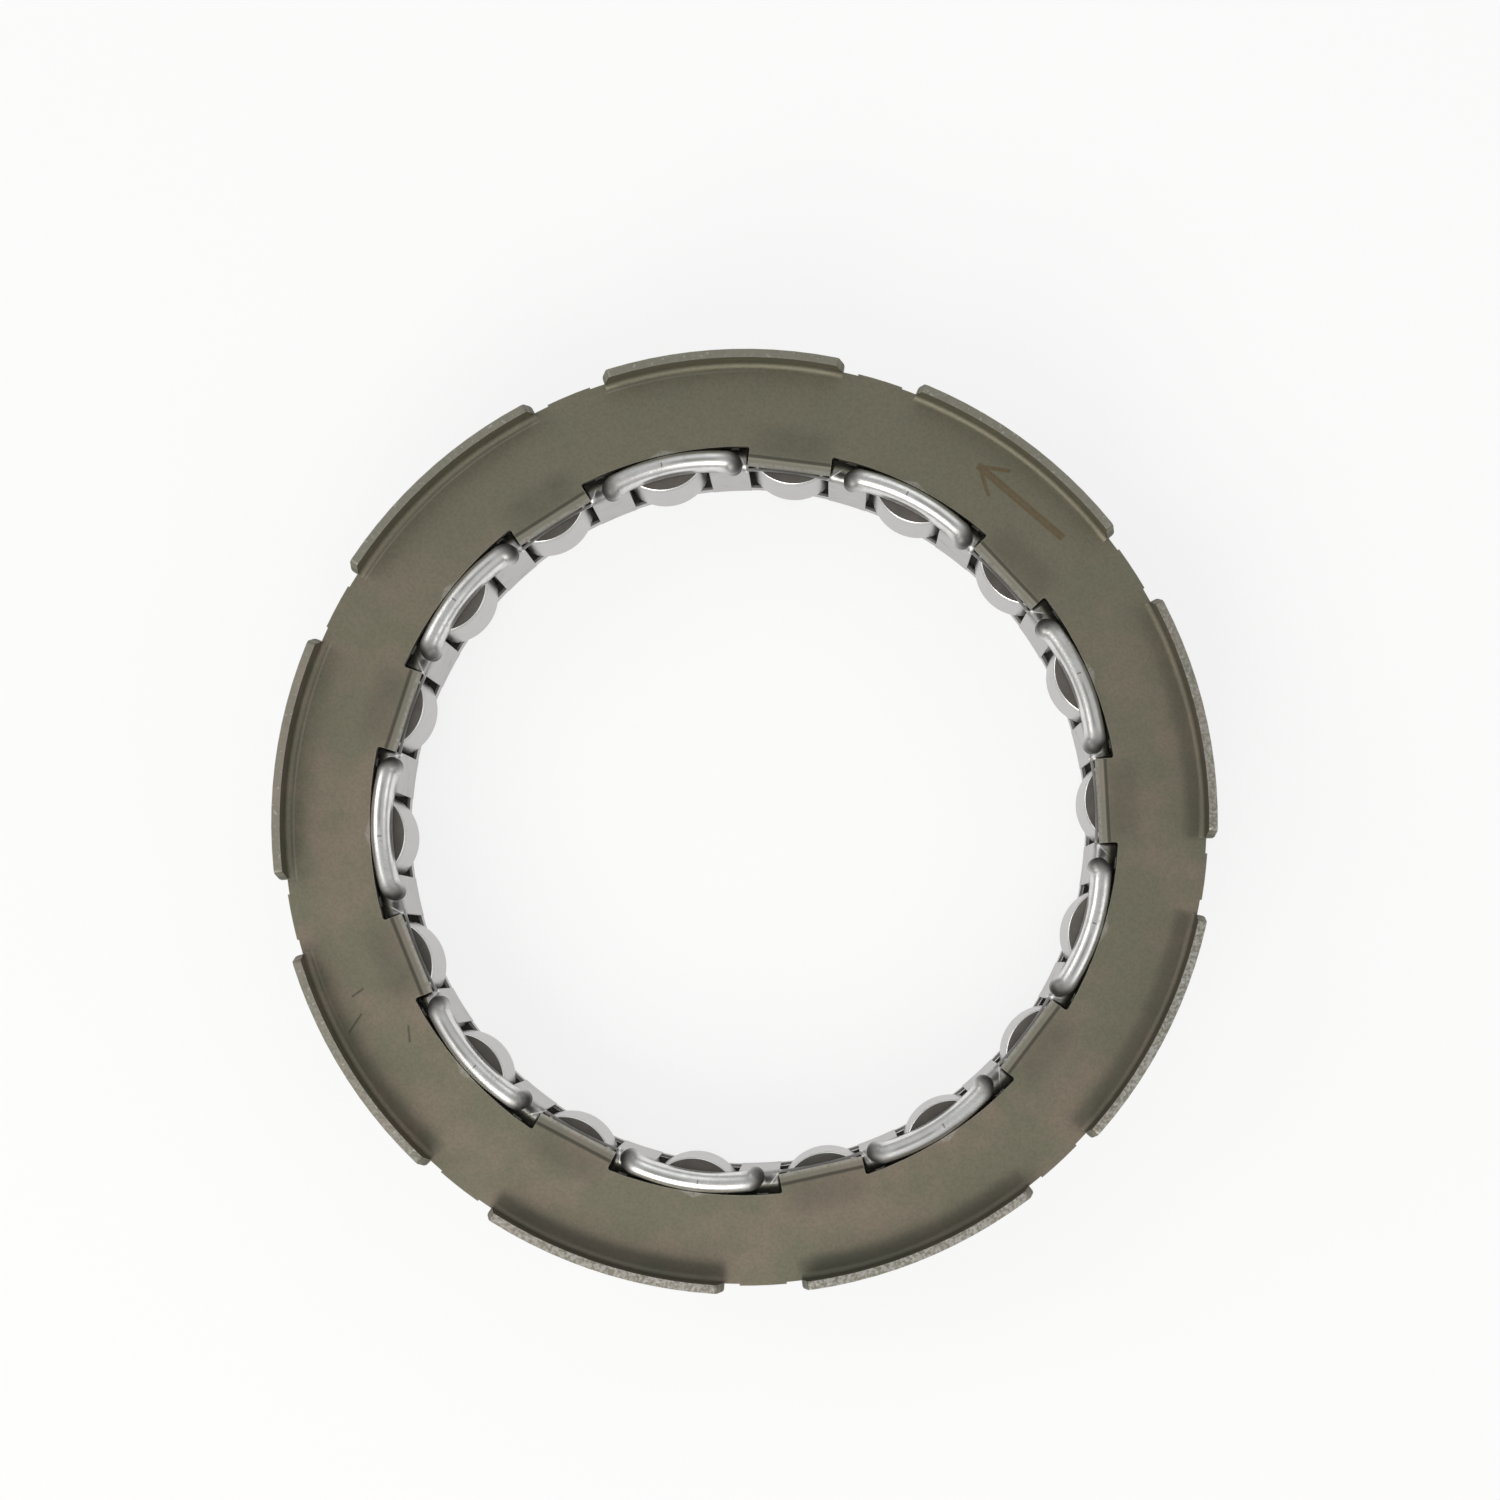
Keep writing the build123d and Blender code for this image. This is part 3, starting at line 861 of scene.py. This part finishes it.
@dataclass(frozen=True)
class SpragSteel:
    """Hardened sprags: ground cams and dull brownish ends, with a painted highlight along the chamfers and
    painted shade just below them.
    """

    name: str = "Sprag_Steel"
    ground: Colour = (0.470, 0.458, 0.450, 1)
    glint: Colour = (0.900, 0.895, 0.880, 1)
    dull_end: Colour = (0.125, 0.114, 0.104, 1)
    mottle: Colour = (0.185, 0.170, 0.154, 1)
    # ring: colour of the painted shade just below the chamfer; it also darkens the end faces' rims.
    ring: Colour = (0.060, 0.056, 0.052, 1)
    end_height: float = 7.95 * MM
    chamfer: float = 0.12 * MM
    shade: float = 0.11 * MM

    def build(self) -> bpy.types.Material:
        """Build the material."""
        recipe = Recipe(self.name)
        place = recipe.place()
        normal = recipe.node("ShaderNodeNewGeometry").outputs["Normal"]
        facing = recipe.node("ShaderNodeSeparateXYZ", sockets={"Vector": normal}).outputs["Z"]
        end = abs(Signal(recipe, facing)).ramp(0.93, 0.99)
        grind = recipe.noise(recipe.polar_vector(place, 0.05 * MM, 2 * MM), 1.0, 2, shift=8.8)
        clouds = recipe.noise(place.vector, 1.1 * MM, 3, shift=2.7)
        speckle = recipe.noise(place.vector, 0.15 * MM, 2, shift=4.9)
        dull = recipe.mix(clouds.ramp(0.3, 0.7) * 0.5 + speckle * 0.2, self.dull_end, self.mottle)
        # Darker round the end faces' rims.
        rim = recipe.edge_mask(0.10 * MM, 6.0)
        dull = recipe.mix(rim * 0.7, dull, self.ring)
        depth = self.end_height - place.z
        # Painted shade just below the chamfer.
        under = depth.band(self.chamfer + self.shade, 0.03 * MM, 0.06 * MM)
        cam = recipe.mix(under * 0.7, self.ground, self.ring)
        # Painted highlight on the chamfer.
        cam = recipe.mix(depth.ramp(self.chamfer + 0.03 * MM, self.chamfer - 0.02 * MM), cam, self.glint)
        colour = recipe.mix(end, cam, dull)
        metallic = 1 - end * 0.35
        rough = 0.28 + end * 0.30 + clouds * 0.08
        height = grind * (1 - end) + speckle * end
        return recipe.finish(colour, metallic, rough, height, 0.004 * MM)


def dress(piece: bpy.types.Object, body: str, material: bpy.types.Material) -> None:
    """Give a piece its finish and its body.

    Args:
        piece: The piece, in place.
        body: The body that it rides on.
        material: Its finish.
    """
    piece.data.materials.append(material)
    piece.data.polygons.foreach_set("use_smooth", [True] * len(piece.data.polygons))
    bpy.context.scene.collection.objects.link(piece)
    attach(piece, body)
    log.info("%s: %d faces on %s", piece.name, len(piece.data.polygons), body)


def mesh_from(shape: bmesh.types.BMesh, name: str) -> bpy.types.Mesh:
    """Write a shape to a new mesh and free it.

    Args:
        shape: The finished shape.
        name: The mesh's name.

    Returns:
        The mesh.
    """
    mesh = bpy.data.meshes.new(name)
    shape.to_mesh(mesh)
    shape.free()
    return mesh


def strip_piece(name: str, shape: bmesh.types.BMesh, gauge: float, material: bpy.types.Material) -> None:
    """Make a piece of the inner cage's strip from its outside.

    Args:
        name: The piece's name.
        shape: The strip's outside, with its faces pointing out.
        gauge: How thick the strip is.
        material: Its finish.
    """
    piece = bpy.data.objects.new(name, mesh_from(shape, f"{name}_shape"))
    dress(piece, Body.INNER.value, material)
    wall = piece.modifiers.new("Strip_gauge", "SOLIDIFY")
    wall.thickness = gauge
    wall.offset = -1


@dataclass
class SheetPiece:
    """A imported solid, copied with its edges broken, that stands for its node."""

    node: str
    body: str
    slot: Slot
    edge: float
    crease_deg: float = 34.0
    merge: float = 0.002 * MM
    flat_deg: float = 0.6
    smooth_deg: float = 50.0
    flat_weight: int = 80

    def trim(self, shape: bmesh.types.BMesh) -> None:
        """Change the copied shape before its edges are broken; a plain piece stays as it is.

        Args:
            shape: The copy; a plain piece does not use it.
        """

    def mesh(self) -> bpy.types.Mesh:
        """Copy the node's mesh, join its loose triangles and break its sharp edges."""
        shape = bmesh.new()
        shape.from_mesh(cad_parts[self.node].data)
        bmesh.ops.remove_doubles(shape, verts=shape.verts, dist=self.merge)
        self.trim(shape)
        bmesh.ops.dissolve_limit(shape, angle_limit=radians(self.flat_deg), verts=shape.verts,
                                 edges=shape.edges)
        crease = radians(self.crease_deg)
        sharp = [e for e in shape.edges if e.is_manifold and e.calc_face_angle(0) > crease]
        bmesh.ops.bevel(shape, geom=sharp, offset=self.edge, offset_type="OFFSET", segments=2, profile=0.5,
                        affect="EDGES", clamp_overlap=True, material=-1)
        return mesh_from(shape, f"{self.node}_shape")

    def place(self, material: bpy.types.Material) -> None:
        """Put the piece on its body in the node's place.

        Args:
            material: Its finish.
        """
        piece = bpy.data.objects.new(f"{self.node}_dressed", self.mesh())
        dress(piece, self.body, material)
        piece.data.set_sharp_from_angle(angle=radians(self.smooth_deg))
        weighted = piece.modifiers.new("Flat_faces", "WEIGHTED_NORMAL")
        weighted.keep_sharp = True
        weighted.weight = self.flat_weight
        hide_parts(self.node)


@dataclass
class Flange(SheetPiece):
    """The flange ring, with its teeth cut back to where they end."""

    root: float = 26.0 * MM
    drawn_tip: float = SIZES.tooth_tip

    def trim(self, shape: bmesh.types.BMesh) -> None:
        """Bring the teeth's tips back.

        Args:
            shape: The copied flange.
        """
        teeth = [heading(radians(a)) for a in LAYOUT.tooth_angles()]
        for vert in shape.verts:
            if vert.co.xy.length > self.root:
                continue
            along = max(teeth, key=lambda tooth: tooth.dot(vert.co.xy))
            out = along.dot(vert.co.xy)
            if out < self.drawn_tip:
                vert.co.xy += along * (self.drawn_tip - out)


@dataclass
class CageCup(SheetPiece):
    """The outer cage, with its back rail drawn in as far as the inner cage's wall."""

    rail_bore: float = 27.6 * MM
    drawn_bore: float = 25.9 * MM
    slack: float = 0.05 * MM

    def trim(self, shape: bmesh.types.BMesh) -> None:
        """Bring the rail's bore in.

        Args:
            shape: The copied cup.
        """
        for vert in shape.verts:
            if vert.co.xy.length < self.rail_bore + self.slack:
                vert.co.xy *= self.drawn_bore / vert.co.xy.length


@dataclass
class StripWall(SheetPiece):
    """The inner cage's wall, cut off under the loops, with a plain skirt inside the back rail."""

    top_cut: float = 8.2 * MM
    pocket_bottom: float = 0.7 * MM
    skirt_bottom: float = 0.1 * MM
    bore: float = SIZES.strip_bore
    wall_radius: float = SIZES.strip_wall
    skirt_steps: int = 180
    cut_tolerance: float = 0.0005 * MM

    def cut(self, shape: bmesh.types.BMesh, height: float, side: int) -> None:
        """Cut the wall off level and close the cut.

        Args:
            shape: The wall.
            height: Where the cut is.
            side: 1 removes what is above it, -1 what is below.
        """
        made = bmesh.ops.bisect_plane(shape, geom=shape.verts[:] + shape.edges[:] + shape.faces[:],
                                      dist=self.cut_tolerance, plane_co=(0, 0, height),
                                      plane_no=(0, 0, side), clear_outer=True)
        rims = [e for e in made["geom_cut"] if isinstance(e, bmesh.types.BMEdge) and e.is_boundary]
        bmesh.ops.triangle_fill(shape, use_beauty=True, edges=rims, normal=(0, 0, side))

    def skirt(self, shape: bmesh.types.BMesh) -> None:
        """Turn the plain ring below the pockets.

        Args:
            shape: The wall.
        """
        corners = [(self.bore, self.skirt_bottom), (self.wall_radius, self.skirt_bottom),
                   (self.wall_radius, self.pocket_bottom), (self.bore, self.pocket_bottom)]
        verts = [shape.verts.new((radius, 0, height)) for radius, height in corners]
        edges = [shape.edges.new((verts[k], verts[(k + 1) % 4])) for k in range(4)]
        made = bmesh.ops.spin(shape, geom=edges, cent=(0, 0, 0), axis=(0, 0, 1), dvec=(0, 0, 0),
                              angle=2 * pi, steps=self.skirt_steps, use_merge=True)
        faces = {face for vert in made["geom_last"] if isinstance(vert, bmesh.types.BMVert)
                 for face in vert.link_faces}
        ring = set(faces)
        while faces:
            near = {other for face in faces for edge in face.edges for other in edge.link_faces} - ring
            ring |= near
            faces = near
        bmesh.ops.recalc_face_normals(shape, faces=list(ring))

    def trim(self, shape: bmesh.types.BMesh) -> None:
        """Cut both ends and add the skirt.

        Args:
            shape: The copied inner cage.
        """
        self.cut(shape, self.top_cut, 1)
        self.cut(shape, self.pocket_bottom, -1)
        self.skirt(shape)


@dataclass
class Loops:
    """The bullnosed loops of the inner cage's front rail, rolled from its strip."""

    half_width: float = 0.70 * MM
    length: float = 8.2 * MM
    arc_radius: float = SIZES.loop_arc
    elbow_radius: float = 0.7 * MM
    elbow_turn_deg: float = 48.0
    mid_radius: float = 26.47 * MM
    base: float = 8.0 * MM
    crest: float = 9.95 * MM
    strip: float = 0.2 * MM
    crest_steps: int = 8
    arc_steps: int = 24
    elbow_steps: int = 8
    dome_steps: int = 16
    merge: float = 0.001 * MM

    @staticmethod
    def turn(shape: bmesh.types.BMesh, edges: list[bmesh.types.BMEdge], centre: Vector, angle_deg: float,
             steps: int) -> list[bmesh.types.BMEdge]:
        """Sweep edges about an upright axis.

        Args:
            shape: The mesh.
            edges: The edges to sweep.
            centre: A point on the axis.
            angle_deg: How far to turn.
            steps: Steps of the turn.

        Returns:
            The edges at the end of the sweep.
        """
        made = bmesh.ops.spin(shape, geom=edges, cent=centre, axis=(0, 0, 1), dvec=(0, 0, 0),
                              angle=radians(angle_deg), steps=steps)
        return [e for e in made["geom_last"] if isinstance(e, bmesh.types.BMEdge)]

    def single(self) -> bmesh.types.BMesh:
        """Roll one loop's outside on +X: half of its profile is swept down each side and round each end."""
        shape = bmesh.new()
        reach = asin(self.length / 2 / self.arc_radius)
        end_angle = reach + radians(self.elbow_turn_deg)
        arc_centre = Vector((self.mid_radius - self.arc_radius, 0, 0))
        elbow_reach = self.arc_radius - self.elbow_radius
        elbows = [arc_centre + heading(side * reach).to_3d() * elbow_reach for side in (-1, 1)]
        outward = heading(-end_angle).to_3d()
        start = elbows[0] + outward * self.elbow_radius
        shoulder = self.crest - self.half_width
        foot = shape.verts.new(start + outward * self.half_width + Vector((0, 0, self.base)))
        knee = shape.verts.new(start + outward * self.half_width + Vector((0, 0, shoulder)))
        shape.edges.new((foot, knee))
        bmesh.ops.spin(shape, geom=[knee], cent=start + Vector((0, 0, shoulder)),
                       axis=outward.cross(Vector((0, 0, 1))), dvec=(0, 0, 0), angle=pi / 2,
                       steps=self.crest_steps)
        outer = shape.edges[:]
        inner = self.turn(shape, outer, start, -180, self.dome_steps)
        for centre, angle_deg, steps in ((elbows[0], self.elbow_turn_deg, self.elbow_steps),
                                         (arc_centre, 2 * degrees(reach), self.arc_steps),
                                         (elbows[1], self.elbow_turn_deg, self.elbow_steps)):
            outer = self.turn(shape, outer, centre, angle_deg, steps)
            inner = self.turn(shape, inner, centre, angle_deg, steps)
        far_end = elbows[1] + Vector((outward.x, -outward.y, 0)) * self.elbow_radius
        self.turn(shape, outer, far_end, 180, self.dome_steps)
        bmesh.ops.remove_doubles(shape, verts=shape.verts, dist=self.merge)
        bmesh.ops.dissolve_degenerate(shape, edges=shape.edges, dist=self.merge / 2)
        bmesh.ops.recalc_face_normals(shape, faces=shape.faces)
        topmost = max(shape.faces, key=lambda face: face.calc_center_median().z)
        if topmost.normal.z < 0:
            bmesh.ops.reverse_faces(shape, faces=shape.faces)
        return shape

    def place(self, material: bpy.types.Material) -> None:
        """Set the loops round the inner cage.

        Args:
            material: Their finish.
        """
        one = mesh_from(self.single(), "One_loop")
        everything = bmesh.new()
        for angle in LAYOUT.loop_angles():
            turned = one.copy()
            turned.transform(Matrix.Rotation(radians(angle), 4, "Z"))
            everything.from_mesh(turned)
        strip_piece("Front_loops", everything, self.strip, material)


@dataclass
class Web:
    """The strip between the windows: its wall, and its front turned over outwards across the pockets."""

    bore: float = 25.55 * MM
    foot: float = 0.15 * MM
    roll: float = 0.6 * MM
    rim: float = 27.14 * MM
    top: float = 8.44 * MM
    strip: float = 0.14 * MM
    start_deg: float = 6.66
    end_deg: float = 13.2
    roll_steps: int = 8
    turn_steps: int = 12
    merge: float = 0.001 * MM
    upright: float = 1e-4

    def sector(self, shape: bmesh.types.BMesh, start_deg: float, turn_deg: float) -> None:
        """Turn the profile through one stretch between a tooth's window and a loop's.

        Args:
            shape: The mesh.
            start_deg: Where it starts.
            turn_deg: How far it runs.
        """
        out = heading(radians(start_deg)).to_3d()
        up = Vector((0, 0, 1))
        shoulder = self.top - self.roll
        foot = shape.verts.new(out * self.bore + up * self.foot)
        knee = shape.verts.new(out * self.bore + up * shoulder)
        shape.edges.new((foot, knee))
        made = bmesh.ops.spin(shape, geom=[knee], cent=out * (self.bore + self.roll) + up * shoulder,
                              axis=up.cross(out), dvec=(0, 0, 0), angle=pi / 2, steps=self.roll_steps)
        last = next(v for v in made["geom_last"] if isinstance(v, bmesh.types.BMVert))
        rim = shape.verts.new(out * self.rim + up * self.top)
        shape.edges.new((last, rim))
        edges = [edge for edge in shape.edges if edge.is_wire]
        bmesh.ops.spin(shape, geom=edges, cent=(0, 0, 0), axis=up, dvec=(0, 0, 0),
                       angle=radians(turn_deg), steps=self.turn_steps)

    def place(self, material: bpy.types.Material) -> None:
        """Set the web round the inner cage.

        Args:
            material: Its finish.
        """
        shape = bmesh.new()
        turn = self.end_deg - self.start_deg
        for angle in LAYOUT.tooth_angles():
            self.sector(shape, angle + self.start_deg, turn)
            self.sector(shape, angle - self.end_deg, turn)
        bmesh.ops.remove_doubles(shape, verts=shape.verts, dist=self.merge)
        for face in shape.faces:
            face.normal_update()
            outwards = face.normal.dot(face.calc_center_median()) > 0
            if face.normal.z < -self.upright or (abs(face.normal.z) <= self.upright and outwards):
                face.normal_flip()
        strip_piece("Front_web", shape, self.strip, material)


@dataclass
class Clutch:
    """The whole clutch, sub-assembly by sub-assembly."""

    sprags_per_unit: int = 2

    def outer_body(self) -> None:
        """Flange, outer cage and ribbon."""
        body = Body.OUTER.value
        Flange("flange_ring", body, Slot.FLANGE, 0.06 * MM).place(PressedSteel().build())
        CageCup("outer_cage", body, Slot.CAGE, 0.05 * MM).place(DrawnSteel().build())
        SheetPiece("ribbon_spring", body, Slot.SPRING, 0.02 * MM).place(SpringStrip().build())

    def inner_body(self) -> None:
        """Inner cage: its wall, its web and its loops."""
        strip = WallStrip().build()
        StripWall("inner_cage", Body.INNER.value, Slot.STRIP, 0.03 * MM).place(strip)
        Web().place(strip)
        Loops().place(LoopStrip().build())

    def sprags(self) -> None:
        """All the sprags, in one finish."""
        steel = SpragSteel().build()
        for number in range(1, self.sprags_per_unit * LAYOUT.units + 1):
            node = f"sprag_{number:02d}"
            SheetPiece(node, node, Slot.SPRAG, 0.03 * MM).place(steel)

    def build(self) -> None:
        """Build the sub-assemblies in order."""
        self.outer_body()
        self.inner_body()
        self.sprags()


@dataclass(frozen=True)
class Lamp:
    """One soft lamp, a square panel that faces the clutch."""

    name: str
    azimuth_deg: float
    elevation_deg: float
    distance: float
    size: float
    power: float
    tint: tuple[float, float, float]

    def hang(self) -> None:
        """Hang it over the floor."""
        light = bpy.data.lights.new(self.name, "AREA")
        light.shape = "SQUARE"
        light.size = self.size
        light.energy = self.power
        light.color = self.tint
        lamp = bpy.data.objects.new(self.name, light)
        around, up = radians(self.azimuth_deg), radians(self.elevation_deg)
        spot = Vector((cos(around) * cos(up), sin(around) * cos(up), sin(up))) * self.distance
        lamp.location = spot
        lamp.rotation_euler = (-spot).to_track_quat("-Z", "Y").to_euler()
        bpy.context.scene.collection.objects.link(lamp)


@dataclass
class Studio:
    """Pale floor, soft lamps, plain world and the camera."""

    floor_half: float = 2.0
    floor_drop: float = 0.02 * MM
    floor_white: float = 0.8
    floor_plain: Colour = (0.86, 0.86, 0.86, 1)
    sky: float = 0.5
    sky_tint: Colour = (0.95, 0.96, 0.96, 1)
    lamps: tuple[Lamp, ...] = (
        Lamp("Lamp_lower_left", 248, 42, 0.42, 0.26, 0.95, (1.0, 0.97, 0.93)),
        Lamp("Lamp_left", 165, 38, 0.45, 0.24, 0.40, (1.0, 0.98, 0.96)),
        Lamp("Lamp_upper", 75, 40, 0.45, 0.26, 0.17, (0.97, 1.0, 0.98)),
        Lamp("Lamp_right", 345, 36, 0.45, 0.24, 0.19, (1.0, 1.0, 1.0)),
    )
    flange_top: float = SIZES.flange_face
    eye: tuple[float, float, float] = (6.7 * MM, -10.7 * MM, 195 * MM)
    aim: tuple[float, float] = (0.52 * MM, 4.85 * MM)
    lens: float = 64.64
    sensor: float = 36.0

    def floor(self) -> None:
        """Lay the floor that the clutch lies on."""
        shape = bmesh.new()
        bmesh.ops.create_grid(shape, x_segments=1, y_segments=1, size=self.floor_half)
        mesh = mesh_from(shape, "Floor_shape")
        recipe = Recipe("Floor_White")
        paths = recipe.node("ShaderNodeLightPath").outputs
        kinds = [Signal(recipe, paths[f"Is {kind} Ray"]) for kind in ("Camera", "Glossy", "Transmission")]
        plain = recipe.node("ShaderNodeBsdfPrincipled",
                            sockets={"Base Color": self.floor_plain, "Roughness": 0.9})
        white = recipe.node("ShaderNodeEmission", sockets={"Color": (1, 1, 1, 1), "Strength": 1.0})
        share = (kinds[0] + kinds[1] + kinds[2]).least(1.0) * self.floor_white
        both = recipe.node("ShaderNodeMixShader",
                           sockets={0: share, 1: plain.outputs[0], 2: white.outputs[0]})
        recipe.node("ShaderNodeOutputMaterial", sockets={"Surface": both.outputs[0]})
        mesh.materials.append(recipe.material)
        floor = bpy.data.objects.new("Floor", mesh)
        floor.location.z = -self.floor_drop
        bpy.context.scene.collection.objects.link(floor)
        floor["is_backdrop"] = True

    def light(self) -> None:
        """Hang the lamps and set the plain world."""
        for lamp in self.lamps:
            lamp.hang()
        world = bpy.data.worlds.new("Plain_World")
        world.use_nodes = True
        background = world.node_tree.nodes["Background"]
        background.inputs["Color"].default_value = self.sky_tint
        background.inputs["Strength"].default_value = self.sky
        bpy.context.scene.world = world

    def camera(self) -> None:
        """Stand the camera over the lipped face."""
        data = bpy.data.cameras.new("Camera")
        data.lens = self.lens
        data.sensor_width = self.sensor
        data.clip_start = 0.01
        camera = bpy.data.objects.new("Camera", data)
        place = Vector((self.eye[0], self.eye[1], self.flange_top + self.eye[2]))
        gaze = (Vector((self.aim[0], self.aim[1], self.flange_top)) - place).normalized()
        right = gaze.cross(Vector((0, 1, 0))).normalized()
        turned = Matrix((right, right.cross(gaze), -gaze)).transposed()
        camera.matrix_world = Matrix.Translation(place) @ turned.to_4x4()
        bpy.context.scene.collection.objects.link(camera)
        bpy.context.scene.camera = camera

    def build(self) -> None:
        """Set the stage."""
        self.floor()
        self.light()
        self.camera()
        bpy.context.scene.view_settings.view_transform = "Standard"


def corners(box: object) -> list[list[float]]:
    """Turn a pair of corners into plain lists.

    Args:
        box: Lowest and highest corner.

    Returns:
        The two corners as lists of numbers.
    """
    return [[float(value) for value in corner] for corner in box]


def main() -> None:
    """Build the clutch and its studio."""
    logging.basicConfig(level=logging.INFO, format="%(message)s")
    cad_box = corners(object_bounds())
    Clutch().build()
    Studio().build()
    {"cad": cad_box, "visual": corners(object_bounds())}


if __name__ == "__main__":
    main()
